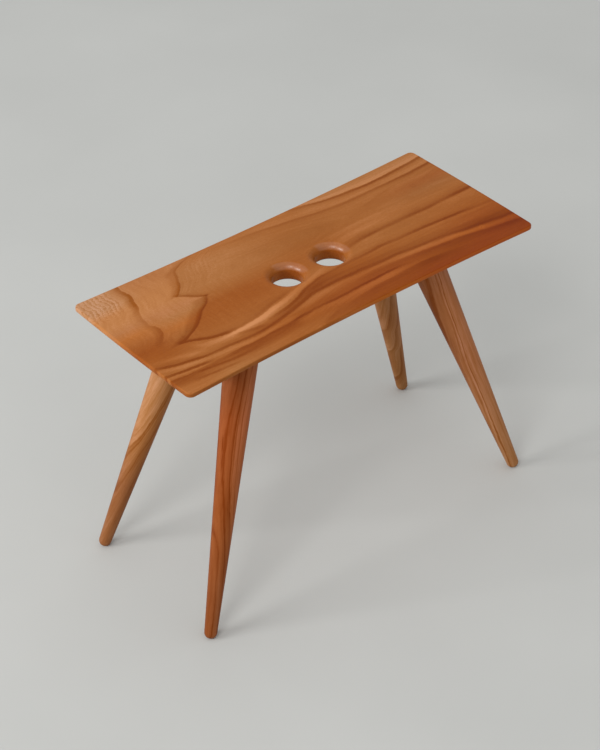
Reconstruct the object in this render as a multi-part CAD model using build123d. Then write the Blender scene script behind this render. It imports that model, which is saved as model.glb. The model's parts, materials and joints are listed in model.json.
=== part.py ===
from build123d import *
import math
import os

# Kneeling bench: a thin hardwood seat with two finger holes, on four splayed, tapered legs.
# Millimetres. The origin is on the floor, midway between the feet. +X runs along the seat,
# +Y across it and +Z up. "Front" is -Y and "left" is -X.

# ---- seat board ----
seat_length = 460.0         # corner to corner along X, before the corners are rounded
seat_width = 198.0          # corner to corner along Y
seat_height = 329.0         # floor to the top face
seat_thickness = 20.0       # at the middle, where the legs and the holes are
edge_thickness = 4.8        # of the thin rim, above the bevel planed underneath
bevel_width = 31.0          # how far the underside bevel runs in from the rim
side_hollow = 4.3           # how far each long side curves in at its middle
end_bow = 1.2               # how far each end curves out at its middle
corner_radius = 6.5         # of the seat's corners in plan
bevel_corner_radius = 26.0  # of the flat underside's corners in plan
top_arris = 1.5             # rounding of the rim's top edge
lower_arris = 0.9           # rounding of the rim's lower edge

# ---- finger holes ----
hole_diameter = 33.0        # of the straight throat
hole_top_round = 8.5        # round-over into the top face
hole_bottom_round = 5.5     # round-over into the underside
hole_bridge = 7.7           # flat wood left between the two round-overs on top

# ---- legs ----
socket_from_end = 108.1     # from the seat's end to where a leg's axis crosses the underside
socket_from_side = 55.5     # from the seat's long side to the same point
splay_along = 17.75         # degrees that a leg leans out along the seat
splay_across = 9.9          # degrees that it leans out across the seat
leg_top_diameter = 37.0     # across the leg's axis, where that axis meets the underside
foot_diameter = 13.9        # of the domed foot
foot_wear = 0.7             # how much of the dome's tip is worn flat on the floor

# ---- leg joints: a blind round tenon, spread by a wedge hidden in its end ----
tenon_diameter = 22.0
glue_line = 0.1             # clearance between tenon and socket, all round
end_gap = 0.5               # between the tenon's end and the socket's bottom
socket_cover = 4.5          # least wood left between a socket and the top face
wedge_length = 8.5
wedge_butt = 3.2            # wedge thickness against the socket's bottom
wedge_tip = 1.2             # wedge thickness at its thin end, inside the tenon

# ---- worked out from the sizes above ----
underside = seat_height - seat_thickness
rim_underside = seat_height - edge_thickness
hole_offset = hole_diameter / 2 + hole_top_round + hole_bridge / 2
socket_x = seat_length / 2 - socket_from_end
socket_y = seat_width / 2 - socket_from_side

lean_x = math.tan(math.radians(splay_along))
lean_y = math.tan(math.radians(splay_across))
tilt = math.atan(math.hypot(lean_x, lean_y))

same_height = 0.01          # how nearly level two edges are to count as one height

tenon_radius = tenon_diameter / 2
socket_radius = tenon_radius + glue_line
socket_depth = (seat_thickness - socket_cover - socket_radius * math.sin(tilt)) / math.cos(tilt)
tenon_length = socket_depth - end_gap

corners = {
    "front_left": (-1, -1),
    "front_right": (1, -1),
    "back_left": (-1, 1),
    "back_right": (1, 1),
}


def plan_outline(inset, rounding):
    """The seat's outline moved in by inset: hollow long sides, bowed ends and rounded corners."""
    x = seat_length / 2 - inset
    y = seat_width / 2 - inset
    sides = [
        ThreePointArc((-x, -y), (0, -y + side_hollow), (x, -y)),
        ThreePointArc((x, -y), (x + end_bow, 0), (x, y)),
        ThreePointArc((x, y), (0, y - side_hollow), (-x, y)),
        ThreePointArc((-x, y), (-x - end_bow, 0), (-x, -y)),
    ]
    outline = make_face(Curve() + sides)
    return fillet(outline.vertices(), rounding)


def leg_frame(side_x, side_y):
    """A leg's own frame: origin on its axis at the underside, Z up the leg, X along the seat."""
    up_the_axis = Vector(-side_x * lean_x, -side_y * lean_y, 1).normalized()
    along_the_seat = Vector(0, 1, 0).cross(up_the_axis).normalized()
    socket_mouth = (side_x * socket_x, side_y * socket_y, underside)
    return Plane(origin=socket_mouth, x_dir=along_the_seat, z_dir=up_the_axis)


def rod(radius, low, high):
    """A round rod on the Z axis between two heights."""
    return Pos(0, 0, low) * Cylinder(radius, high - low, align=(Align.CENTER, Align.CENTER, Align.MIN))


def edges_at(solid, height):
    """The edges that lie flat at one height above the floor."""
    level = solid.edges().filter_by(Plane.XY)
    return level.filter_by_position(Axis.Z, height - same_height, height + same_height)


def hole_edges_at(solid, height):
    """The two finger holes' edges at one height above the floor."""
    rounds = edges_at(solid, height).filter_by(GeomType.CIRCLE)
    return rounds.filter_by(lambda edge: edge.is_closed)


def turned_leg():
    """The leg's turned outside, in its own frame: a straight taper down to a domed foot.

    It runs on above the underside, so that the shoulder can be cut level.
    """
    top_radius = leg_top_diameter / 2
    foot_radius = foot_diameter / 2
    dome_centre = -(underside - foot_radius + foot_wear) / math.cos(tilt)
    taper = math.atan2(top_radius, -dome_centre) - math.asin(foot_radius / math.hypot(top_radius, dome_centre))
    run_on = top_radius
    dome_middle = (taper + math.pi / 2) / 2
    top_edge = (top_radius + run_on * math.tan(taper), run_on)
    dome_edge = (foot_radius * math.cos(taper), dome_centre - foot_radius * math.sin(taper))
    dome_side = (foot_radius * math.cos(dome_middle), dome_centre - foot_radius * math.sin(dome_middle))
    dome_tip = (0, dome_centre - foot_radius)
    profile = [
        Line((0, run_on), top_edge),
        Line(top_edge, dome_edge),
        ThreePointArc(dome_edge, dome_side, dome_tip),
        Line(dome_tip, (0, run_on)),
    ]
    return revolve(Plane.XZ * make_face(Curve() + profile), Axis.Z)


def wedge_blank():
    """The wedge in a leg's own frame, before its ends are rounded to the tenon."""
    thin_end = socket_depth - wedge_length
    section = Polyline(
        (-wedge_butt / 2, socket_depth),
        (wedge_butt / 2, socket_depth),
        (wedge_tip / 2, thin_end),
        (-wedge_tip / 2, thin_end),
        close=True,
    )
    return extrude(Plane.XZ * make_face(section), tenon_diameter, both=True)


def make_seat():
    """One board: a thin rim, a bevelled underside, two finger holes and four blind sockets."""
    rim = extrude(Pos(0, 0, rim_underside) * plan_outline(0, corner_radius), edge_thickness)
    bevel = loft(
        [
            Pos(0, 0, underside) * plan_outline(bevel_width, bevel_corner_radius),
            Pos(0, 0, rim_underside) * plan_outline(0, corner_radius),
        ],
        ruled=True,
    )
    board = rim + bevel
    board = fillet(edges_at(board, seat_height), top_arris)
    board = fillet(edges_at(board, rim_underside), lower_arris)
    for side in (-1, 1):
        board -= Pos(side * hole_offset, 0, 0) * rod(hole_diameter / 2, underside, seat_height)
    board = fillet(hole_edges_at(board, seat_height), hole_top_round)
    board = fillet(hole_edges_at(board, underside), hole_bottom_round)
    for side_x, side_y in corners.values():
        board -= leg_frame(side_x, side_y) * rod(socket_radius, -socket_radius, socket_depth)
    return board


def make_leg(side_x, side_y):
    """A turned leg cut level at its shoulder and foot, with its slotted tenon."""
    frame = leg_frame(side_x, side_y)
    reach = seat_length + seat_width
    between_floor_and_seat = Box(reach, reach, underside, align=(Align.CENTER, Align.CENTER, Align.MIN))
    body = frame * turned_leg() & between_floor_and_seat
    tenon = rod(tenon_radius, -tenon_radius, tenon_length) - wedge_blank()
    return body + frame * tenon


def make_wedge(side_x, side_y):
    """The thin wedge that fills the tenon's slot and bears on the socket's bottom."""
    return leg_frame(side_x, side_y) * (wedge_blank() & rod(tenon_radius, 0, socket_depth))


def main():
    os.makedirs("parts", exist_ok=True)
    export_step(make_seat(), "parts/seat.step")
    for corner, (side_x, side_y) in corners.items():
        export_step(make_leg(side_x, side_y), f"parts/leg_{corner}.step")
        export_step(make_wedge(side_x, side_y), f"parts/wedge_{corner}.step")


main()
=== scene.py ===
import json
import math

import bpy
from mathutils import Matrix, Vector


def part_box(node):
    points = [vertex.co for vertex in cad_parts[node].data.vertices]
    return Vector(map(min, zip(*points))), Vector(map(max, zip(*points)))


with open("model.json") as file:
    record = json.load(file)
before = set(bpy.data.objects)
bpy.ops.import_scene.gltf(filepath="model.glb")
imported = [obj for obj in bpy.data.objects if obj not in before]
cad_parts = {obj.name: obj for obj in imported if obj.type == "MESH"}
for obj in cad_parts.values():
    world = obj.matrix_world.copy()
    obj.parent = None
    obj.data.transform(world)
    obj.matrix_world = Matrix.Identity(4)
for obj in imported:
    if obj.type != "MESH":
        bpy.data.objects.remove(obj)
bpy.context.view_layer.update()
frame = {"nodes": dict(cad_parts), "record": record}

# Kneeling bench in oiled red-brown hardwood: a thin figured seat on four splayed, tapered legs.
# Metres, as in the frame. The wood's figure is laid out in millimetres, as it would be on the
# board itself: x along the seat, y across it, both from its middle.

seatLow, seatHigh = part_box("seat")
toMillimetres = 1000
print("frame loaded:", len(frame["nodes"]), "pieces, seat top at", round(seatHigh.z, 4))


# building shaders

def hexColour(code):
    # a colour as it looks on screen, turned into the linear one that a shader takes
    channels = [int(code[i:i + 2], 16) / 255 for i in (0, 2, 4)]
    return [c / 12.92 if c <= 0.04045 else ((c + 0.055) / 1.055) ** 2.4 for c in channels] + [1]


def startMaterial(name):
    material = bpy.data.materials.new(name)
    material.use_nodes = True
    material.node_tree.nodes.clear()
    return material, material.node_tree


def place(tree, kind, feeds=None, **settings):
    # adds a node; each feed is a plain value or the output of another node
    made = tree.nodes.new("ShaderNode" + kind)
    for name, value in settings.items():
        setattr(made, name, value)
    for socket, feed in (feeds or {}).items():
        if isinstance(feed, bpy.types.NodeSocket):
            tree.links.new(feed, made.inputs[socket])
        else:
            made.inputs[socket].default_value = feed
    return made


def reckon(tree, operation, *feeds, clamp=False):
    made = place(tree, "Math", dict(enumerate(feeds)), operation=operation, use_clamp=clamp)
    return made.outputs[0]


def vectorMath(tree, operation, *feeds):
    made = place(tree, "VectorMath", dict(enumerate(feeds)), operation=operation)
    givesNumber = operation in ("DISTANCE", "DOT_PRODUCT", "LENGTH")
    return made.outputs["Value" if givesNumber else "Vector"]


def mixNumbers(tree, factor, first, second):
    return place(tree, "Mix", {0: factor, 2: first, 3: second}, data_type="FLOAT").outputs[0]


def curveThrough(tree, source, points, straight=False):
    # reads a value off a curve drawn through a few points, level beyond its ends
    made = place(tree, "FloatCurve", {"Value": source})
    made.mapping.use_clip = False
    made.mapping.extend = "HORIZONTAL"
    drawn = made.mapping.curves[0]
    points = sorted(points)
    drawn.points[0].location = points[0]
    drawn.points[-1].location = points[-1]
    for point in points[1:-1]:
        drawn.points.new(*point)
    for point in drawn.points:
        point.handle_type = "VECTOR" if straight else "AUTO_CLAMPED"
    made.mapping.update()
    return made.outputs[0]


def fade(tree, source, low, high, toLow=0.0, toHigh=1.0):
    # eases from one value to another between two readings
    feeds = {"Value": source, "From Min": low, "From Max": high, "To Min": toLow, "To Max": toHigh}
    return place(tree, "MapRange", feeds, interpolation_type="SMOOTHSTEP").outputs[0]


def colourRamp(tree, source, low, high, stops):
    # stops are (reading, colour) pairs
    share = place(tree, "MapRange", {"Value": source, "From Min": low, "From Max": high}).outputs[0]
    made = place(tree, "ValToRGB", {0: share})
    made.color_ramp.interpolation = "LINEAR"
    elements = made.color_ramp.elements
    stops = sorted(stops)
    while len(elements) < len(stops):
        elements.new(0.5)
    for element, (reading, code) in zip(elements, stops):
        element.position = (reading - low) / (high - low)
        element.color = hexColour(woodColours.get(code, code))
    return made.outputs[0]


def blendColours(tree, factor, first, second):
    made = place(tree, "Mix", {0: factor, 6: first, 7: second}, data_type="RGBA")
    return made.outputs[2]


def noise(tree, vector, scale, detail=2.0, roughness=0.5):
    feeds = {"Vector": vector, "Scale": scale, "Detail": detail, "Roughness": roughness}
    return place(tree, "TexNoise", feeds).outputs[0]


def sway(tree, source, amount):
    # noise around zero, in millimetres to either side
    return reckon(tree, "MULTIPLY_ADD", source, 2 * amount, -amount)


def together(tree, x, y, z):
    return place(tree, "CombineXYZ", {0: x, 1: y, 2: z}).outputs[0]


def stretched(tree, *axes):
    # a place with its axes drawn out or pressed together: (reading, scale) or (reading, scale, shift)
    drawn = []
    for reading, scale, *shift in axes:
        drawn.append(reckon(tree, "MULTIPLY_ADD", reading, scale, shift[0] if shift else 0))
    return together(tree, *drawn)


def inMillimetres(tree):
    spot = place(tree, "TexCoord").outputs["Object"]
    scaled = place(tree, "VectorMath", {0: spot, "Scale": toMillimetres}, operation="SCALE")
    return scaled.outputs["Vector"]


# tone: 0 leaves the wood's own colour, -1 is the darkest late wood and +1 the palest early wood
woodTone = {
    "darkest": (0.63, 0.42, 0.12),
    "palest": (1.55, 1.90, 3.20),
}

# the oiled wood's colours, from the pale corner to the deepest red
woodColours = {
    "cream": "B48055", "honey": "B67845", "wheat": "AE7040", "amber": "A86C3A",
    "tan": "A56430", "copper": "A0602C", "cinnamon": "9D5A25", "russet": "98521C",
    "brick": "944B18", "mahogany": "8A420C", "burnt": "863A0C", "ember": "AC652C",
}


def tonedWood(tree, ownColour, tone):
    colour = ownColour
    for direction, limit in ((-1, "darkest"), (1, "palest")):
        share = reckon(tree, "MULTIPLY", tone, direction, clamp=True)
        change = place(tree, "Mix", {0: share, 4: (1, 1, 1), 5: woodTone[limit]}, data_type="VECTOR")
        colour = vectorMath(tree, "MULTIPLY", colour, change.outputs[1])
    return colour


# what the seat's finish and the legs' have in common
oiled = {
    "refraction": 1.46,
    "gloss": 0.07,
    "bump": 0.35,
    "bumpHeight": 0.00012,      # metres
    "poreEdges": (0.60, 0.74),  # where in its noise a pore begins, and where it is full
    "poreRelief": -0.8,
    "streakEdges": (0.25, 0.75),
}


def oiledFinish(tree, colour, streak, pores, roughness, gloss):
    relief = reckon(tree, "MULTIPLY_ADD", pores, oiled["poreRelief"], streak)
    bump = place(tree, "Bump", {"Height": relief, "Strength": oiled["bump"],
                                "Distance": oiled["bumpHeight"]})
    feeds = {"Base Color": colour, "Normal": bump.outputs[0],
             "Roughness": fade(tree, streak, *oiled["streakEdges"], *roughness),
             "IOR": oiled["refraction"], "Specular IOR Level": gloss}
    shader = place(tree, "BsdfPrincipled", feeds)
    place(tree, "OutputMaterial", {"Surface": shader.outputs[0]})


# the seat: ring lines, drawn one by one. "path" is where a line lies, (x, y) along the board or
# (y, x) across it; "shade" is its tone at so many millimetres behind it (to the right of it, for
# one that runs across); "strength" is how plainly it shows along its way; "dip" is how far the
# ring slips to the front (to the left) for each millimetre down into the board.
seatFigure = {
    # across the pale left end
    "end ring": dict(
        runs="across", dip=0.7,
        path=[(97, -176.5), (88, -178), (80, -176.5), (74, -175.5), (68, -177.5), (60, -180),
              (52, -181.8), (46, -185.5), (40, -188.5), (32, -190.5), (24, -191), (20, -192),
              (15, -188.7), (8, -187.2), (2, -188.2), (-5, -192.5), (-12, -198.5)],
        shade=[(-12, 0), (-9, -0.12), (-7, -0.38), (-5, -0.55), (-3, -0.85), (-1, -1),
               (0.4, -0.95), (1.5, 0), (14, 0)],
        strength=[(97, 0.75), (88, 0.75), (80, 0.9), (72, 1), (60, 1), (50, 0.75), (42, 0.5),
                  (30, 0.45), (20, 0.35), (14, 0.6), (4, 0.7), (-6, 0.55), (-12, 0.35), (-16, 0)]),
    "inner ring": dict(
        runs="across", dip=0.7,
        path=[(98, -70), (93, -86), (88, -100), (84, -108), (80, -114.5), (75, -117.4),
              (70, -119.4), (62, -123), (55, -126.5), (50, -131), (46, -135), (41, -141)],
        shade=[(-17, 0), (-13, -0.12), (-9, -0.42), (-6, -0.55), (-3, -0.66), (-1, -1),
               (0.6, -0.9), (1.8, -0.1), (6, 0)],
        strength=[(98, 0.4), (90, 0.6), (84, 0.8), (70, 0.75), (60, 0.85), (50, 1), (44, 0.9),
                  (40.5, 0)]),
    "point, far side": dict(
        runs="across", dip=0.7,
        path=[(46, -143), (42, -140.5), (36, -133), (32, -129), (28, -124), (24, -117.5)],
        shade=[(-4, 0), (-1, -0.15), (0.6, -0.85), (3, -0.85), (6, -0.4), (10, -0.15), (16, 0)],
        strength=[(46, 0), (43, 0.7), (38, 0.75), (30, 0.95), (25.5, 1), (23, 0)]),
    "point, near side": dict(
        runs="across", dip=0.7,
        path=[(26, -116.5), (20, -120), (15, -124.5), (10, -131), (5, -138), (0, -143),
              (-5, -148), (-10, -154), (-15, -161), (-19, -169), (-23, -177), (-27, -186)],
        shade=[(-19, 0), (-16, -0.16), (-12.5, -0.38), (-9, -0.48), (-5.7, -0.58), (-3.4, -0.8),
               (-1.4, -1), (1.3, -1), (3, -0.4), (5, 0), (10, 0)],
        strength=[(26, 0), (23.5, 0.8), (15, 0.9), (5, 1), (-5, 1.15), (-15, 1.1), (-24, 1.05),
                  (-28, 0)]),
    # the tail of the point, and the pale band under it
    "tail": dict(
        runs="along", dip=0.6,
        path=[(-190, -23.5), (-182, -26.3), (-177, -27.5), (-171, -30.5), (-165, -33.4),
              (-159, -36.2), (-152, -38.5), (-145, -40), (-137, -41.2), (-125, -41.4),
              (-110, -40.3), (-97, -38), (-84, -34.5), (-74, -31), (-60, -27.5), (-45, -24)],
        shade=[(-5, 0), (-2.6, -0.1), (-1.4, -0.9), (0.4, -1), (1.8, -0.75), (4, -0.25), (8, -0.06),
               (12, 0)],
        strength=[(-190, 0), (-182, 0.9), (-170, 1.1), (-150, 1.1), (-140, 1), (-130, 0.5),
                  (-115, 0.35), (-80, 0.4), (-55, 0.35), (-40, 0)]),
    "pale band": dict(
        runs="along", dip=0.6,
        path=[(-182, -34), (-170, -41.5), (-160, -44), (-150, -45.8), (-125, -45.6),
              (-105, -44.4), (-92, -42.2), (-80, -39.3), (-60, -35.2), (-40, -29.2), (-20, -24),
              (0, -18.5), (15, -15)],
        shade=[(-8.5, 0), (-5, 0.25), (-2.5, 0.75), (-0.5, 1), (1.8, 0.9), (3.6, 0.2), (6, 0)],
        strength=[(-182, 0), (-172, 0.25), (-160, 0.35), (-150, 0.5), (-138, 0.8), (-125, 1.05),
                  (-105, 1.05), (-80, 1), (-60, 0.65), (-40, 0.55), (-20, 0.5), (0, 0.3), (14, 0)]),
    "pale end streak": dict(
        runs="along", dip=0.6,
        path=[(-230, -35), (-215, -39), (-200, -43), (-190, -46.3), (-172, -50.5)],
        shade=[(-6, 0), (-3, 0.5), (0, 1), (3, 0.5), (6, 0)],
        strength=[(-230, 0.1), (-215, 0.25), (-190, 0.42), (-178, 0.2), (-168, 0)]),
    "short inner stroke": dict(
        runs="along", dip=0.6,
        path=[(-138, -49), (-125, -51), (-112, -53.6), (-98, -54.6)],
        shade=[(-6, 0), (-3, -0.25), (-1, -0.9), (0.9, -0.9), (2.5, -0.1), (4, 0)],
        strength=[(-138, 0), (-128, 0.5), (-108, 0.6), (-97, 0)]),
    # along the near half of the board
    "left long line": dict(
        runs="along", dip=0.6,
        path=[(-230, -44), (-215, -49.5), (-204, -52.7), (-190, -55.5), (-178, -58), (-165, -59),
              (-150, -59.7), (-135, -60.8), (-120, -61.3), (-105, -60.8), (-92, -59), (-80, -56.7),
              (-60, -51.5)],
        shade=[(-12, 0), (-9, 0.08), (-6, 0.42), (-4, 0.38), (-2.3, -0.1), (-1.1, -0.9),
               (0.9, -0.95), (2.5, -0.35), (5, -0.12), (9, 0)],
        strength=[(-230, 0.6), (-215, 0.85), (-190, 0.95), (-170, 0.7), (-150, 0.85),
                  (-125, 0.65), (-105, 0.8), (-80, 0.5), (-62, 0)]),
    "right long line": dict(
        runs="along", dip=0.6,
        path=[(-95, -59.5), (-80, -56.7), (-60, -51.5), (-40, -46.5), (-20, -43.2), (0, -42.5),
              (28, -43.5), (55, -45), (80, -46.3), (105, -48.7), (130, -51), (150, -53.5),
              (170, -57.7), (190, -61), (215, -65), (230, -66.5)],
        shade=[(-13, 0), (-10.5, 0.15), (-7, 0.32), (-4.5, 0.18), (-2.8, -0.15), (-1.2, -0.85),
               (0.8, -0.9), (3, -0.5), (7, -0.42), (11, -0.12), (15, 0)],
        strength=[(-88, 0), (-60, 0.7), (-40, 0.9), (-20, 1), (0, 0.9), (30, 0.8), (105, 0.85),
                  (130, 0.7), (150, 0.6), (170, 0.7), (190, 0.8), (215, 0.75), (230, 0.7)]),
    "rising line": dict(
        runs="along", dip=0.6,
        path=[(-98, -52), (-85, -49), (-75, -47.3), (-62, -45.3), (-50, -41.3), (-40, -37.3),
              (-30, -33.3), (-20, -30.5), (-10, -28), (0, -26.6), (15, -25.7), (36, -25)],
        shade=[(-12, 0), (-9, -0.3), (-5, -0.45), (-2.5, -0.55), (-1.2, -0.9), (0.8, -1),
               (2.2, -0.25), (4, 0), (9, 0)],
        strength=[(-98, 0), (-85, 0.45), (-70, 0.7), (-50, 0.85), (-20, 0.85), (0, 0.65),
                  (15, 0.4), (35, 0)]),
    "thin thread": dict(
        runs="along", dip=0.6,
        path=[(10, -25.6), (35, -25), (57, -24.5), (80, -24), (107, -25.3), (130, -26),
              (150, -27.2), (165, -28.5), (180, -29.7), (195, -31), (207, -32.3), (230, -35.5)],
        shade=[(-7, 0), (-4, 0.14), (-2.6, 0), (-1.2, -0.9), (0.9, -1), (2.8, -0.35), (6, -0.1),
               (9, 0)],
        strength=[(10, 0), (25, 0.25), (55, 0.5), (80, 0.7), (105, 0.5), (130, 0.7), (150, 0.95),
                  (170, 0.9), (190, 0.7), (205, 0.35), (215, 0.2), (230, 0.25)]),
    "pale knot streak": dict(
        runs="along", dip=0.6,
        path=[(75, -51.5), (105, -54.5), (130, -57), (150, -59.5), (170, -64), (190, -68),
              (215, -72.5), (230, -75)],
        shade=[(-5, 0), (-3, 0.3), (0, 0.6), (3, 0.3), (5, 0)],
        strength=[(70, 0), (105, 0.3), (130, 0.4), (150, 0.85), (170, 1), (185, 0.75), (200, 0.45),
                  (230, 0.3)]),
    "lower right line": dict(
        runs="along", dip=0.6,
        path=[(20, -53.5), (40, -53.5), (55, -54), (80, -56.8), (105, -60), (130, -62.8),
              (150, -65.7), (170, -69), (190, -74), (215, -78.5), (230, -81.5)],
        shade=[(-14, 0), (-9, -0.2), (-5, -0.55), (-2, -0.85), (0, -0.9), (1.6, -0.35), (3, 0),
               (8, 0)],
        strength=[(15, 0), (40, 0.25), (80, 0.4), (105, 0.6), (130, 0.7), (150, 0.55), (170, 0.6),
                  (190, 0.6), (215, 0.7), (230, 0.65)]),
    "near line": dict(
        runs="along", dip=0.6,
        path=[(-78, -69), (-60, -67.3), (-40, -66.3), (-20, -66.8), (0, -66.2), (30, -65.3),
              (55, -65), (75, -65.5), (95, -67)],
        shade=[(-13, 0), (-9, 0.3), (-6, 0.44), (-3.6, 0.36), (-2, 0), (-0.9, -0.95), (0.9, -1),
               (2.6, -0.3), (7, -0.22), (11, 0)],
        strength=[(-78, 0), (-62, 0.6), (-40, 0.5), (-20, 0.75), (0, 0.75), (30, 0.85),
                  (60, 0.75), (78, 0.25), (95, 0)]),
    "dark near band": dict(
        runs="along", dip=0.6,
        path=[(-230, -69), (-200, -71.5), (-175, -70.8), (-150, -70.3), (-125, -70.6),
              (-105, -69.6), (-80, -68.3), (-50, -64.5)],
        shade=[(-16, 0), (-12.5, -0.3), (-9, -0.5), (-5, -0.62), (-2, -0.8), (-0.4, -0.8),
               (0.9, 0), (3, 0.14), (6, 0)],
        strength=[(-230, 0.8), (-215, 0.85), (-190, 0.55), (-170, 0.5), (-150, 0.8), (-125, 0.95),
                  (-105, 0.8), (-80, 0.8), (-65, 0.4), (-52, 0)]),
    "under edge": dict(
        runs="along", dip=0.6,
        path=[(-62, -92), (-40, -86), (-20, -82), (0, -79.3), (30, -75.3), (55, -74.8), (80, -73.8),
              (105, -74.5), (130, -77.5), (152, -80)],
        shade=[(-15, 0), (-9, -0.25), (-4, -0.55), (-1, -0.6), (1.2, 0), (4, 0.1), (8, 0)],
        strength=[(-62, 0), (-40, 0.6), (-20, 0.3), (0, 0.35), (30, 0.7), (80, 0.75), (105, 1),
                  (130, 0.4), (150, 0)]),
    "first end stroke": dict(
        runs="along", dip=0.6,
        path=[(-230, -60.8), (-215, -63), (-201, -65.3), (-190, -67), (-172, -68.5)],
        shade=[(-5, 0), (-3, 0.15), (-1.3, -0.8), (0.9, -0.95), (2.4, -0.2), (4, 0)],
        strength=[(-230, 0.85), (-190, 1), (-180, 0.5), (-172, 0)]),
    "second end stroke": dict(
        runs="along", dip=0.6,
        path=[(-205, -74.5), (-190, -76.5), (-170, -79), (-150, -80), (-125, -80.5)],
        shade=[(-5, 0), (-2.2, 0), (-1, -0.7), (1, -0.8), (2.4, -0.1), (4, 0)],
        strength=[(-205, 0), (-192, 0.6), (-170, 0.6), (-150, 0.35), (-125, 0)]),
    "third end stroke": dict(
        runs="along", dip=0.6,
        path=[(-214, -83.3), (-190, -85), (-170, -86.8), (-135, -87.6)],
        shade=[(-4, 0), (-2, -0.1), (-0.9, -0.9), (0.9, -0.9), (2.2, -0.1), (4, 0)],
        strength=[(-214, 0), (-200, 0.5), (-168, 0.55), (-150, 0.2), (-135, 0)]),
    # along the middle and the far half
    "middle line": dict(
        runs="along", dip=0.6,
        path=[(44, -7), (55, -2.5), (65, -0.5), (80, 0.8), (105, 0.8), (130, 0.9), (150, 0.2),
              (170, 0.2), (190, 0.9), (215, 0.9), (230, 1.5)],
        shade=[(-8, 0), (-5, 0.1), (-3.2, -0.1), (-1.6, -0.8), (0, -1), (1.8, -0.8), (4, -0.38),
               (8, -0.12), (14, 0)],
        strength=[(44, 0), (55, 0.4), (70, 0.65), (80, 0.8), (105, 0.6), (130, 0.6), (150, 0.8),
                  (170, 0.75), (190, 0.65), (215, 1), (230, 1)]),
    "pale tongue": dict(
        runs="along", dip=-0.6,
        path=[(40, 24), (55, 27), (80, 28.5), (105, 28.5), (130, 29.5), (165, 30)],
        shade=[(-22, 0), (-17, 0.28), (-13, 0.3), (-8, 0.12), (-4, 0.3), (-1.5, 0.42), (0.5, 0.1),
               (2, 0)],
        strength=[(42, 0), (52, 0.7), (65, 0.8), (80, 0.75), (105, 0.5), (130, 0.15), (165, 0)]),
    "back line": dict(
        runs="along", dip=-0.6,
        path=[(40, 94.5), (51, 92), (67, 88.5), (80, 85.2), (92, 82.8), (105, 81), (130, 79),
              (150, 77.7), (170, 78.6), (190, 79.4), (215, 81.5), (230, 83.3)],
        shade=[(-13, 0), (-7, -0.08), (-3, -0.28), (-1.1, -0.9), (0.8, -0.95), (2, -0.05),
               (3.2, 0.5), (6, 0.48), (8.5, 0.2), (12, 0.05), (16, 0)],
        strength=[(36, 0), (50, 0.5), (67, 0.6), (80, 0.75), (105, 0.8), (130, 0.85), (150, 0.95),
                  (170, 1), (190, 0.95), (215, 0.8), (230, 0.75)]),
    "inner back line": dict(
        runs="along", dip=-0.6,
        path=[(-60, 89), (-32, 85), (0, 81), (29, 76.5), (55, 71.5), (70, 68.8), (80, 67.5),
              (105, 65.2), (130, 64.8), (150, 65), (190, 65), (215, 66.8), (230, 68)],
        shade=[(-13, 0), (-8, -0.1), (-3, -0.32), (-1, -0.85), (0.8, -0.9), (2.4, 0), (4.5, 0.3),
               (8, 0.28), (11, 0.1), (14, 0)],
        strength=[(-60, 0), (-30, 0.25), (10, 0.45), (50, 0.5), (80, 0.6), (105, 0.6), (130, 0.55),
                  (150, 0.65), (170, 0.8), (190, 0.95), (230, 1)]),
    "faint inner line": dict(
        runs="along", dip=-0.6,
        path=[(110, 46.5), (125, 48.5), (135, 50.5), (150, 54), (165, 57.5)],
        shade=[(-6, 0), (-2.5, -0.3), (0, -0.7), (2, -0.2), (6, 0)],
        strength=[(110, 0), (125, 0.35), (150, 0.4), (163, 0)]),
}

# the board's own colour down its width, at six places along its length
seatColourSpan = (-100, 100)
seatColours = {
    -215: [(92, "cream"), (70, "cream"), (58, "honey"), (40, "honey"), (28, "wheat"),
           (15, "ember"), (2, "9E5A26"), (-15, "914A16"), (-30, "russet"), (-60, "copper"),
           (-76, "cinnamon"), (-92, "tan")],
    -160: [(92, "wheat"), (60, "honey"), (45, "honey"), (28, "wheat"), (15, "amber"),
           (0, "ember"), (-15, "copper"), (-30, "cinnamon"), (-46, "tan"), (-60, "copper"),
           (-76, "cinnamon"), (-92, "amber")],
    -80: [(92, "tan"), (75, "amber"), (58, "amber"), (42, "amber"), (25, "copper"),
          (10, "russet"), (-5, "russet"), (-30, "cinnamon"), (-46, "tan"), (-60, "russet"),
          (-76, "russet"), (-86, "cinnamon"), (-95, "cinnamon")],
    30: [(92, "tan"), (70, "copper"), (45, "985A27"), (15, "cinnamon"), (0, "cinnamon"),
         (-15, "tan"), (-28, "russet"), (-38, "russet"), (-60, "brick"), (-76, "brick"),
         (-92, "mahogany")],
    110: [(92, "amber"), (75, "tan"), (60, "copper"), (45, "copper"), (30, "copper"),
          (15, "tan"), (2, "copper"), (-12, "copper"), (-30, "cinnamon"), (-46, "cinnamon"),
          (-60, "brick"), (-76, "mahogany"), (-92, "burnt")],
    200: [(92, "amber"), (75, "copper"), (60, "copper"), (45, "995625"), (30, "9B5F2F"),
          (15, "copper"), (2, "cinnamon"), (-12, "cinnamon"), (-30, "russet"), (-46, "brick"),
          (-60, "mahogany"), (-76, "burnt"), (-92, "burnt")],
}

# where the pale left end meets the redder middle: along the pointed ring, then it runs out soft
seatJoin = {
    "edge": seatFigure["inner ring"]["path"][:-1] + [(42, -140.5), (24, -117)]
            + seatFigure["point, near side"]["path"][2:-1] + [(-35, -160), (-50, -130)],
    "softness": [(95, 6), (50, 3), (0, 4), (-18, 6), (-27, 25), (-40, 70)],
}

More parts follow.
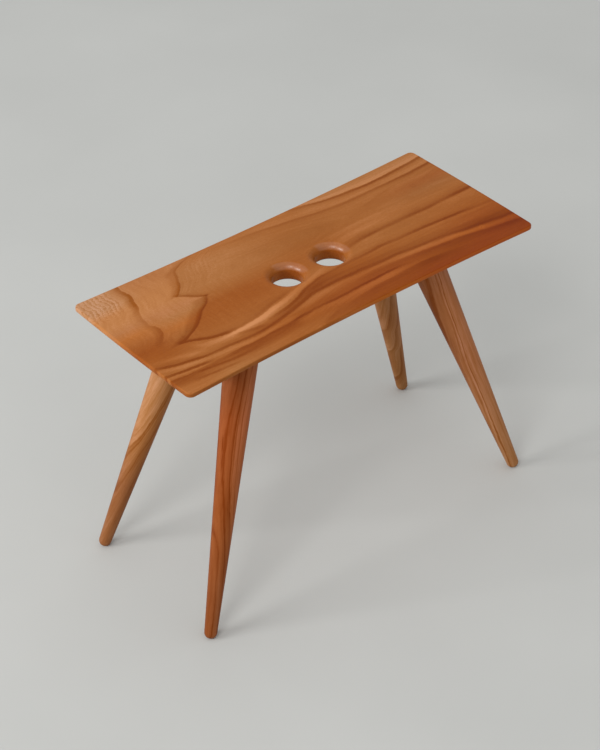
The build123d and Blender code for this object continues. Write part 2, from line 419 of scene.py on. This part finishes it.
seatGrain = {
    "wander": 1.1,              # how far the drawn lines wander to either side
    "fineWander": 0.99,
    "lengthWander": 2.2,        # how far their shading slides along them
    "wanderScale": (0.045, 0.35, 0.06),         # of the broad, the fine and the third noise
    "thirdNoiseFrom": (311, 173, 97),           # far away, so that it is like neither of the others
    "streaks": 0.36,            # tone of the fine lines between the drawn ones
    "streakStretch": (0.018, 0.30),             # along and across the lines
    "endStreakStretch": (0.22, 0.03),           # across and along the ones at the left end
    "pores": 0.30,
    "poreStretch": (0.075, 1.5),
    "flecks": 0.30,             # a millimetre or two long
    "fleckStretch": (0.30, 0.85),
    "clouds": 0.26,             # soft light and dark patches
    "cloudStretch": (0.011, 0.030, 0.02),
    "roughness": (0.30, 0.42),
}

# zones of the board: the readings between which each comes in, over the board, from the pointed
# ring or down from the top face
seatZones = {
    "farHalf": (-20, 55),
    "leftEndAlong": (-20, -110),
    "leftEndAcross": (-48, -8),
    "leftOfPoint": (-12, 10),
    "frontRim": (-80, -90),
    "rimDepth": (0.05, 1.2),
}

# crowded jagged rings in the back left corner, and a few faint ones inside the pointed ring:
# each lies beside a drawn ring, between readings from that ring and readings across the board
crowdedRings = {
    "end ring": dict(tone=0.34, beside=[(-8, -20)], across=(46, 66)),
    "inner ring": dict(tone=0.10, beside=[(4, 14), (60, 36)], across=(34, 52)),
}

crowding = {
    "gap": 5.2,
    "jagged": (3.2, 2.4),
    "shade": [(0, 0.8), (0.35, 0.5), (0.7, -0.1), (0.9, -1), (1, 0.8)],
}

knot = {
    "place": (184.3, -66.3, 0),
    "core": (1.1, 0),           # from its rim to its middle
    "coreTone": -2.2,
    "halo": (5, 1),
    "haloTone": 0.35,
}

# the finger holes: fingers have polished each hole's far side on top, and the throats are darker below
# that polish
holeMounts = [mount for mount in frame["record"]["mounts"] if mount["kind"] == "bore"]
holeCentre = max(mount["pos_m"][0] for mount in holeMounts) * toMillimetres
holeRadius = holeMounts[0]["dims"]["r_mm"]
holeWear = {
    "roundOver": 8.5,
    "way": (0.78, 0.62, 0),     # of the worn side, from a hole's middle
    "fromMiddle": (7, 15),      # that way, where the wear comes in
    "gloss": 0.8,
    "throat": (4.5, 7.5),       # how deep the polish ends and the dark throat begins
    "throatTone": -0.6,
}

# painted light and shade down the front rim, lighter towards the right end and darker at the left:
# tone along the board, below the top face
paintedRimLightAndShade = [(-230, -0.5), (-120, -0.6), (-60, -0.1), (-20, 0.6), (60, 1.1), (140, 1.5),
           (230, 1.5)]


def drawnLines(tree, ways, depth):
    # the tone of all the drawn lines together, and how far a spot lies from each of them
    tone = 0.0
    fromLine = {}
    for name, line in seatFigure.items():
        along, beside = ways[line["runs"]]
        away = reckon(tree, "SUBTRACT", beside, curveThrough(tree, along, line["path"]))
        away = reckon(tree, "MULTIPLY_ADD", depth, line["dip"], away)
        shade = curveThrough(tree, away, line["shade"])
        strength = curveThrough(tree, along, line["strength"])
        tone = reckon(tree, "MULTIPLY_ADD", shade, strength, tone)
        fromLine[name] = away
    return tone, fromLine


def addCrowdedRings(tree, tone, fromLine, y, fine, third):
    fineSway, thirdSway = crowding["jagged"]
    jagged = reckon(tree, "ADD", sway(tree, fine, fineSway), sway(tree, third, thirdSway))
    for name, rings in crowdedRings.items():
        here = fade(tree, y, *rings["across"])
        for edges in rings["beside"]:
            here = reckon(tree, "MULTIPLY", here, fade(tree, fromLine[name], *edges))
        turns = reckon(tree, "ADD", fromLine[name], jagged)
        turns = reckon(tree, "FRACT", reckon(tree, "DIVIDE", turns, crowding["gap"]))
        shade = reckon(tree, "MULTIPLY", curveThrough(tree, turns, crowding["shade"]), here)
        tone = reckon(tree, "MULTIPLY_ADD", shade, rings["tone"], tone)
    return tone


def addKnot(tree, tone, x, y):
    fromKnot = vectorMath(tree, "DISTANCE", together(tree, x, y, 0), knot["place"])
    tone = reckon(tree, "MULTIPLY_ADD", fade(tree, fromKnot, *knot["core"]), knot["coreTone"], tone)
    return reckon(tree, "MULTIPLY_ADD", fade(tree, fromKnot, *knot["halo"]), knot["haloTone"], tone)


def wornHoles(tree, x, y, depth):
    # how much a spot belongs to a hole's polish, and to its dark throat
    fromMiddle = reckon(tree, "MULTIPLY_ADD", reckon(tree, "SIGN", x), -holeCentre, x)
    fromMiddle = together(tree, fromMiddle, y, 0)
    outer = holeRadius + holeWear["roundOver"]
    inner = holeRadius + holeWear["roundOver"] / 2
    worn = reckon(tree, "MULTIPLY", fade(tree, vectorMath(tree, "LENGTH", fromMiddle), outer, inner),
                  fade(tree, vectorMath(tree, "DOT_PRODUCT", fromMiddle, holeWear["way"]),
                       *holeWear["fromMiddle"]))
    throat = reckon(tree, "MULTIPLY", worn, fade(tree, depth, *holeWear["throat"]))
    return reckon(tree, "SUBTRACT", worn, throat), throat


def boardColour(tree, ways, x):
    # the board's own colour, from station to station along it
    alongCross, besideCross = ways["across"]
    acrossBoard = ways["along"][1]
    stations = sorted(seatColours)
    colours = [colourRamp(tree, acrossBoard, *seatColourSpan, seatColours[station])
               for station in stations]
    leftColour = blendColours(tree, fade(tree, x, stations[0], stations[1]), colours[0], colours[1])
    rightColour = colours[2]
    for left, right, colour in zip(stations[2:], stations[3:], colours[3:]):
        rightColour = blendColours(tree, fade(tree, x, left, right), rightColour, colour)
    edge = curveThrough(tree, alongCross, seatJoin["edge"], straight=True)
    width = curveThrough(tree, alongCross, seatJoin["softness"])
    past = reckon(tree, "DIVIDE", reckon(tree, "SUBTRACT", besideCross, edge), width)
    past = reckon(tree, "ADD", past, 0.5, clamp=True)
    return blendColours(tree, past, leftColour, rightColour)


def seatWood():
    material, tree = startMaterial("oiled seat wood")
    onBoard = inMillimetres(tree)
    x, y, z = place(tree, "SeparateXYZ", {0: onBoard}).outputs
    depth = reckon(tree, "SUBTRACT", seatHigh.z * toMillimetres, z)

    broadScale, fineScale, thirdScale = seatGrain["wanderScale"]
    broad = noise(tree, onBoard, broadScale)
    fine = noise(tree, onBoard, fineScale, 3)
    third = noise(tree, vectorMath(tree, "ADD", onBoard, seatGrain["thirdNoiseFrom"]), thirdScale, 3)
    wander = reckon(tree, "ADD", sway(tree, broad, seatGrain["wander"]),
                    sway(tree, fine, seatGrain["fineWander"]))
    # how far along a line a spot lies, and where beside it, for lines that run either way
    ways = {
        "along": (reckon(tree, "ADD", x, sway(tree, third, seatGrain["lengthWander"])),
                  reckon(tree, "ADD", y, wander)),
        "across": (reckon(tree, "ADD", y, sway(tree, third, seatGrain["wander"])),
                   reckon(tree, "ADD", x, wander)),
    }
    tone, fromLine = drawnLines(tree, ways, depth)

    # the fine grain follows the nearest drawn lines
    bend = mixNumbers(tree, fade(tree, y, *seatZones["farHalf"]),
                      fromLine["rising line"], fromLine["inner back line"])
    endBend = mixNumbers(tree, fade(tree, fromLine["inner ring"], *seatZones["leftOfPoint"]),
                         fromLine["end ring"], fromLine["inner ring"])
    atLeftEnd = reckon(tree, "MULTIPLY", fade(tree, y, *seatZones["leftEndAcross"]),
                       fade(tree, x, *seatZones["leftEndAlong"]))
    along, across = seatGrain["streakStretch"]
    longStreak = noise(tree, stretched(tree, (x, along), (bend, across), (depth, 1)), 1.0, 4, 0.6)
    across, along = seatGrain["endStreakStretch"]
    endStreak = noise(tree, stretched(tree, (endBend, across), (y, along), (depth, 1)), 1.0, 4, 0.6)
    streak = mixNumbers(tree, atLeftEnd, longStreak, endStreak)
    tone = reckon(tree, "ADD", tone, sway(tree, streak, seatGrain["streaks"]))
    tone = addCrowdedRings(tree, tone, fromLine, y, fine, third)

    clouds = noise(tree, stretched(tree, *zip((x, y, z), seatGrain["cloudStretch"])), 1.0, 3, 0.55)
    tone = reckon(tree, "ADD", tone, sway(tree, clouds, seatGrain["clouds"]))

    along, across = seatGrain["poreStretch"]
    poreField = noise(tree, stretched(tree, (x, along), (bend, across), (depth, 1)), 1.0, 2, 0.5)
    pores = fade(tree, poreField, *oiled["poreEdges"])
    tone = reckon(tree, "MULTIPLY_ADD", pores, -seatGrain["pores"], tone)

    # painted light and shade on the front rim, below the top face
    onPaintedRim = reckon(tree, "MULTIPLY", fade(tree, depth, *seatZones["rimDepth"]),
                   fade(tree, y, *seatZones["frontRim"]))
    tone = reckon(tree, "MULTIPLY_ADD", curveThrough(tree, x, paintedRimLightAndShade), onPaintedRim, tone)

    along, across = seatGrain["fleckStretch"]
    flecks = noise(tree, stretched(tree, (x, along), (y, across), (depth, 1)), 1.0, 2, 0.6)
    tone = reckon(tree, "ADD", tone, sway(tree, flecks, seatGrain["flecks"]))
    tone = addKnot(tree, tone, x, y)

    polish, throat = wornHoles(tree, x, y, depth)
    # darker down in the throats, on the far side of each hole
    tone = reckon(tree, "MULTIPLY_ADD", throat, holeWear["throatTone"], tone)
    gloss = fade(tree, polish, 0, 1, oiled["gloss"], holeWear["gloss"])
    colour = tonedWood(tree, boardColour(tree, ways, x), tone)
    oiledFinish(tree, colour, streak, pores, seatGrain["roughness"], gloss)
    return material


# the legs: each is turned from its own billet, so each has its own rings. "facing" is the way
# that the rings' faces look, in degrees round the leg from the seat's length; "rings" is the
# tone at so many millimetres from the axis that way; "drift" is how far they slide to the side
# at a height up the leg. The tone at a share of the radius from the axis, where +1 is the side
# that faces the window, is painted light and shade together with some of the wood's own tone.
legFigures = {
    "leg_back_left": dict(
        facing=150,
        rings=[(-40, -0.1), (-34, -0.3), (-30, -0.05), (-24, -0.25), (-20, 0), (-16, -0.1),
               (-13, -0.15), (-12.4, -0.6), (-11, -0.2), (-7, 0), (-4.2, -0.1), (-3.4, -0.75),
               (-2.2, -0.3), (-0.7, -0.6), (0.2, 0.1), (1.2, 0.25), (3.5, 0.05), (4.2, -0.15),
               (5, 0.15), (9, 0.1), (11, -0.05), (12, 0.15), (30, 0.1)],
        drift=[(0, 30), (100, 20), (124, 16), (144, 12), (160, 7.4), (191, 1), (233, -5.3),
               (330, -16)],
        sides=[(1, 0.1), (0.7, 0.05), (0.3, 0), (-0.2, -0.15), (-0.6, -0.32), (-1, -0.3)],
        colours=[(0, "925E38"), (90, "905A34"), (140, "9C6436"), (180, "A66E3E"),
                 (330, "AA7648")]),
    "leg_front_left": dict(
        facing=178,
        rings=[(-17, 0), (-12, -0.1), (-9, 0.2), (-6.4, 0.25), (-5.6, -0.5), (-4.8, 0.15),
               (-2.4, 0.2), (-1.6, -0.35), (-0.9, 0.1), (-0.4, -0.95), (0.5, -0.75), (1.2, -0.3),
               (3, -0.15), (4.6, -0.35), (5.5, -0.95), (6.4, -0.3), (8, -0.1), (9.5, 0.1),
               (11.4, -0.1), (12, -0.55), (12.8, -0.1), (17, -0.05), (24, -0.2)],
        drift=[(0, -7), (60, -5), (106, -2.4), (124, 0.5), (152, 4.1), (175, 6.6), (199, 8),
               (245, 8.7), (270, 7.4), (302, 5.7), (330, 4)],
        sides=[(1, -0.05), (0.75, -0.15), (0.45, -0.25), (0.15, -0.2), (-0.15, -0.1),
               (-0.45, 0.05), (-0.8, 0.1)],
        colours=[(0, "8F522D"), (60, "8C4E28"), (150, "945025"), (250, "A0562C"),
                 (330, "94542C")]),
    "leg_front_right": dict(
        facing=172,
        rings=[(-17, 0.05), (-13, -0.1), (-10, 0.1), (-7, -0.1), (-5, 0.1), (-2.4, 0.15),
               (-0.6, 0.05), (0, -0.85), (0.7, 0.1), (1.5, 0.3), (2.4, 0), (3.2, -0.5),
               (4, -0.1), (6.5, 0), (8, -0.2), (9.5, -0.1), (10.6, -0.6), (12.2, -1),
               (13.2, -0.9), (14.2, -0.5), (20, -0.3)],
        drift=[(0, 3), (75, 4.1), (174, 4.2), (220, 2.5), (263, 1.6), (304, -0.7), (330, -2)],
        sides=[(1, -0.2), (0.7, -0.15), (0.3, 0), (-0.7, 0), (-1, -0.05)],
        colours=[(0, "9E6C40"), (80, "A26A3E"), (180, "A6683E"), (260, "A4663C"),
                 (330, "A86A45")]),
    "leg_back_right": dict(
        facing=165,
        rings=[(-30, 0), (-14, 0), (-6, -0.25), (-1.2, -0.7), (0.2, 0.15), (3, 0.1), (6.5, -0.1),
               (10.3, -0.55), (11.4, 0.05), (14, 0.1), (18, -0.1), (21.8, -0.6), (22.8, 0),
               (27, 0.1), (30, -0.35), (31, 0), (35, -0.2), (36, 0.05), (50, 0)],
        drift=[(0, 20), (31, 7), (42, 1.9), (54, -0.6), (89, -2.8), (96, -6.8), (111, -10.6),
               (134, -12.2), (139, -14.6), (151, -17.4), (168, -20.1), (330, -40)],
        sides=[(1, 0.25), (0.6, 0.1), (0.2, 0), (-0.3, 0), (-0.7, -0.1), (-1, -0.1)],
        colours=[(0, "956438"), (60, "9A6638"), (150, "9A6438"), (250, "956438"),
                 (330, "8C5A34")]),
}

legGrain = {
    "windowSide": 141.5,        # degrees round the leg
    "colourSpan": (0, 330),
    "wander": 1.6,              # how far the ring lines wander to either side
    "fineWander": 0.8,
    "wanderScale": (0.12, 0.6),
    "heightScale": 0.12,        # the wandering is this much slower up the leg
    "streaks": 0.72,
    "streakStretch": (0.55, 0.12, 0.018),       # across the rings, beside them and up the leg
    "clouds": 0.34,
    "cloudStretch": (0.03, 0.03, 0.014),
    "pores": 0.40,
    "poreStretch": (1.6, 1.6, 0.07),
    "roughness": (0.38, 0.52),
}

sameHeight = 0.0001             # metres, how nearly level two corners are to count as one height


def legAxis(leg):
    # the leg's foot and shoulder centres, read from its own rings of corners
    corners = [corner.co for corner in leg.data.vertices]
    ends = []
    for height in (0, seatLow.z):
        level = [corner for corner in corners if abs(corner.z - height) < sameHeight]
        ends.append(Vector([(min(c[i] for c in level) + max(c[i] for c in level)) / 2
                            for i in range(3)]))
    return ends


def widestWithin(leg, foot, up, low, high):
    # the leg's radius in millimetres, from its corners between two heights up its axis
    reach = [corner.co - foot for corner in leg.data.vertices]
    inside = [way for way in reach if low <= way.dot(up) <= high]
    return max((way - up * way.dot(up)).length for way in inside) * toMillimetres


def legWood(name, seed):
    figure = legFigures[name]
    leg = frame["nodes"][name]
    foot, shoulder = legAxis(leg)
    up = (shoulder - foot).normalized()
    legLength = (shoulder - foot).length
    # above the foot's dome, and where the leg meets the seat
    footRadius = widestWithin(leg, foot, up, 0, legLength / 20)
    topRadius = widestWithin(leg, foot, up, legLength * 0.95, legLength * 1.02)
    alongSeat = Vector((0, 1, 0)).cross(up).normalized()
    facing = Matrix.Rotation(math.radians(figure["facing"]), 3, up) @ alongSeat
    sideways = up.cross(facing)
    windowSide = Matrix.Rotation(math.radians(legGrain["windowSide"]), 3, up) @ alongSeat

    material, tree = startMaterial("oiled wood of " + name)
    spot = place(tree, "TexCoord").outputs["Object"]
    fromFoot = vectorMath(tree, "SUBTRACT", spot, foot)
    ringward, beside, windowward, height = [
        vectorMath(tree, "DOT_PRODUCT", fromFoot, way * toMillimetres)
        for way in (facing, sideways, windowSide, up)]

    # the rings, and the painted light and shade across the leg
    inLeg = stretched(tree, (ringward, 1, seed), (beside, 1), (height, legGrain["heightScale"]))
    broadScale, fineScale = legGrain["wanderScale"]
    across = reckon(tree, "ADD", ringward,
                    sway(tree, noise(tree, inLeg, broadScale), legGrain["wander"]))
    across = reckon(tree, "ADD", across,
                    sway(tree, noise(tree, inLeg, fineScale, 3), legGrain["fineWander"]))
    across = reckon(tree, "SUBTRACT", across, curveThrough(tree, height, figure["drift"]))
    tone = curveThrough(tree, across, figure["rings"])
    taper = {"Value": height, "From Min": 0.0, "From Max": legLength * toMillimetres,
             "To Min": footRadius, "To Max": topRadius}
    share = reckon(tree, "DIVIDE", windowward, place(tree, "MapRange", taper).outputs[0])
    # painted light and shade across the leg, lighter or darker towards the window side, with some of
    # the wood's own tone
    tone = reckon(tree, "ADD", tone, curveThrough(tree, share, figure["sides"]))

    # streaks, clouds and pores; the seed sets each leg in a part of the noise that is its own
    first, second, upward = legGrain["streakStretch"]
    streak = noise(tree, stretched(tree, (across, first), (beside, second, seed), (height, upward)),
                   1.0, 4, 0.6)
    tone = reckon(tree, "ADD", tone, sway(tree, streak, legGrain["streaks"]))
    first, second, upward = legGrain["cloudStretch"]
    clouds = noise(tree, stretched(tree, (ringward, first, seed), (beside, second), (height, upward)),
                   1.0, 2)
    tone = reckon(tree, "ADD", tone, sway(tree, clouds, legGrain["clouds"]))
    first, second, upward = legGrain["poreStretch"]
    poreField = noise(tree, stretched(tree, (across, first), (beside, second, seed), (height, upward)),
                      1.0, 2)
    pores = fade(tree, poreField, *oiled["poreEdges"])
    tone = reckon(tree, "MULTIPLY_ADD", pores, -legGrain["pores"], tone)

    ownColour = colourRamp(tree, height, *legGrain["colourSpan"], figure["colours"])
    colour = tonedWood(tree, ownColour, tone)
    oiledFinish(tree, colour, streak, pores, legGrain["roughness"], oiled["gloss"])
    return material


# the wedges: bare, riven wood that nobody sees once the legs are home
wedgeGrain = {
    "colour": [(0.2, "6B4426"), (0.5, "8A5B34"), (0.8, "A0703F")],
    "fibreStretch": (1, 0.9, 0.08),
    "roughness": 0.72,
    "bump": 0.5,
    "bumpHeight": 0.0003,       # metres
}


def wedgeWood():
    material, tree = startMaterial("bare riven wedge wood")
    axes = place(tree, "SeparateXYZ", {0: inMillimetres(tree)}).outputs
    fibre = noise(tree, stretched(tree, *zip(axes, wedgeGrain["fibreStretch"])), 1.0, 4, 0.65)
    colour = colourRamp(tree, fibre, 0, 1, wedgeGrain["colour"])
    bump = place(tree, "Bump", {"Height": fibre, "Strength": wedgeGrain["bump"],
                                "Distance": wedgeGrain["bumpHeight"]})
    feeds = {"Base Color": colour, "Roughness": wedgeGrain["roughness"], "Normal": bump.outputs[0]}
    shader = place(tree, "BsdfPrincipled", feeds)
    place(tree, "OutputMaterial", {"Surface": shader.outputs[0]})
    return material


def dress(piece, material):
    for slot in piece.material_slots:
        slot.material = material


dress(frame["nodes"]["seat"], seatWood())
print("seat wood drawn:", len(seatFigure), "ring lines")
seedStep = 37.0
for order, name in enumerate(legFigures, start=1):
    dress(frame["nodes"][name], legWood(name, seedStep * order))
print("leg wood drawn:", len(legFigures), "legs")
splitWood = wedgeWood()
for name, piece in frame["nodes"].items():
    if name.startswith("wedge"):
        dress(piece, splitWood)
print("wedges finished")


# the floor, the light and the camera
studio = {
    "floorSize": 14.0,
    "floorColours": [(0.3, "BCBDBA"), (0.7, "C1C2BF")],
    "floorMottle": 3.0,
    "floorRoughness": 0.8,
    "floorGloss": 0.2,
    "skyColour": "C9CBCC",
    "skyStrength": 0.69,
    # each lamp: degrees round from +X, degrees up, watts, width and height, distance, and the
    # width of its beam in degrees
    "windowSide": dict(turn=160, rise=27, power=46.5, size=(2.0, 0.9), distance=5.0, spread=120),
    "roomSide": dict(turn=206, rise=46, power=27.4, size=(1.6, 1.2), distance=5.0, spread=120),
}

viewpoint = {
    "turn": -38.492,           # degrees round from the front
    "rise": 37.184,
    "roll": -1.2235,
    "distance": 2.71878,
    "aim": (0.14537, 0.20108, -0.00419),
    "lens": 106.709,
    "sensor": 36.0,
}


def makeFloor():
    half = studio["floorSize"] / 2
    mesh = bpy.data.meshes.new("floor")
    mesh.from_pydata([(-half, -half, 0), (half, -half, 0), (half, half, 0), (-half, half, 0)],
                     [], [(0, 1, 2, 3)])
    floor = bpy.data.objects.new("floor", mesh)
    bpy.context.scene.collection.objects.link(floor)
    material, tree = startMaterial("plain pale floor")
    mottle = noise(tree, place(tree, "TexCoord").outputs["Object"], studio["floorMottle"], 3)
    colour = colourRamp(tree, mottle, 0, 1, studio["floorColours"])
    shader = place(tree, "BsdfPrincipled", {"Base Color": colour,
                                            "Roughness": studio["floorRoughness"],
                                            "Specular IOR Level": studio["floorGloss"]})
    place(tree, "OutputMaterial", {"Surface": shader.outputs[0]})
    mesh.materials.append(material)


def makeSky():
    sky = bpy.data.worlds.new("soft room")
    bpy.context.scene.world = sky
    sky.use_nodes = True
    tree = sky.node_tree
    tree.nodes.clear()
    path = place(tree, "LightPath")
    seen = path.outputs["Is Camera Ray"]
    for ray in ("Is Glossy Ray", "Is Transmission Ray"):
        seen = reckon(tree, "ADD", seen, path.outputs[ray], clamp=True)
    room = place(tree, "Background", {"Color": (1, 1, 1, 1), "Strength": studio["skyStrength"]})
    backdrop = place(tree, "Background", {"Color": hexColour(studio["skyColour"]), "Strength": 1.0})
    either = place(tree, "MixShader", {0: seen, 1: room.outputs[0], 2: backdrop.outputs[0]})
    place(tree, "OutputWorld", {"Surface": either.outputs[0]})


def makeLamp(name):
    plan = studio[name]
    turn, rise = math.radians(plan["turn"]), math.radians(plan["rise"])
    outward = Vector((math.cos(turn) * math.cos(rise), math.sin(turn) * math.cos(rise),
                      math.sin(rise)))
    lamp = bpy.data.lights.new(name, "AREA")
    lamp.shape = "RECTANGLE"
    lamp.size, lamp.size_y = plan["size"]
    lamp.energy = plan["power"]
    lamp.spread = math.radians(plan["spread"])
    holder = bpy.data.objects.new(name, lamp)
    bpy.context.scene.collection.objects.link(holder)
    holder.location = outward * plan["distance"]
    holder.rotation_euler = outward.to_track_quat("Z", "Y").to_euler()


def makeCamera():
    turn, rise, roll = [math.radians(viewpoint[k]) for k in ("turn", "rise", "roll")]
    outward = Vector((math.sin(turn) * math.cos(rise), -math.cos(turn) * math.cos(rise),
                      math.sin(rise)))
    right = Vector((0, 0, 1)).cross(outward).normalized()
    upward = outward.cross(right)
    tiltedRight = right * math.cos(roll) + upward * math.sin(roll)
    tiltedUp = upward * math.cos(roll) - right * math.sin(roll)
    lens = bpy.data.cameras.new("camera")
    lens.sensor_width = viewpoint["sensor"]
    lens.lens = viewpoint["lens"]
    camera = bpy.data.objects.new("camera", lens)
    bpy.context.scene.collection.objects.link(camera)
    stand = Matrix((tiltedRight, tiltedUp, outward)).transposed().to_4x4()
    stand.translation = Vector(viewpoint["aim"]) + outward * viewpoint["distance"]
    camera.matrix_world = stand
    bpy.context.scene.camera = camera


makeFloor()
makeSky()
makeLamp("windowSide")
makeLamp("roomSide")
makeCamera()
bpy.context.scene.view_settings.view_transform = "Standard"
print("floor, light and camera placed")
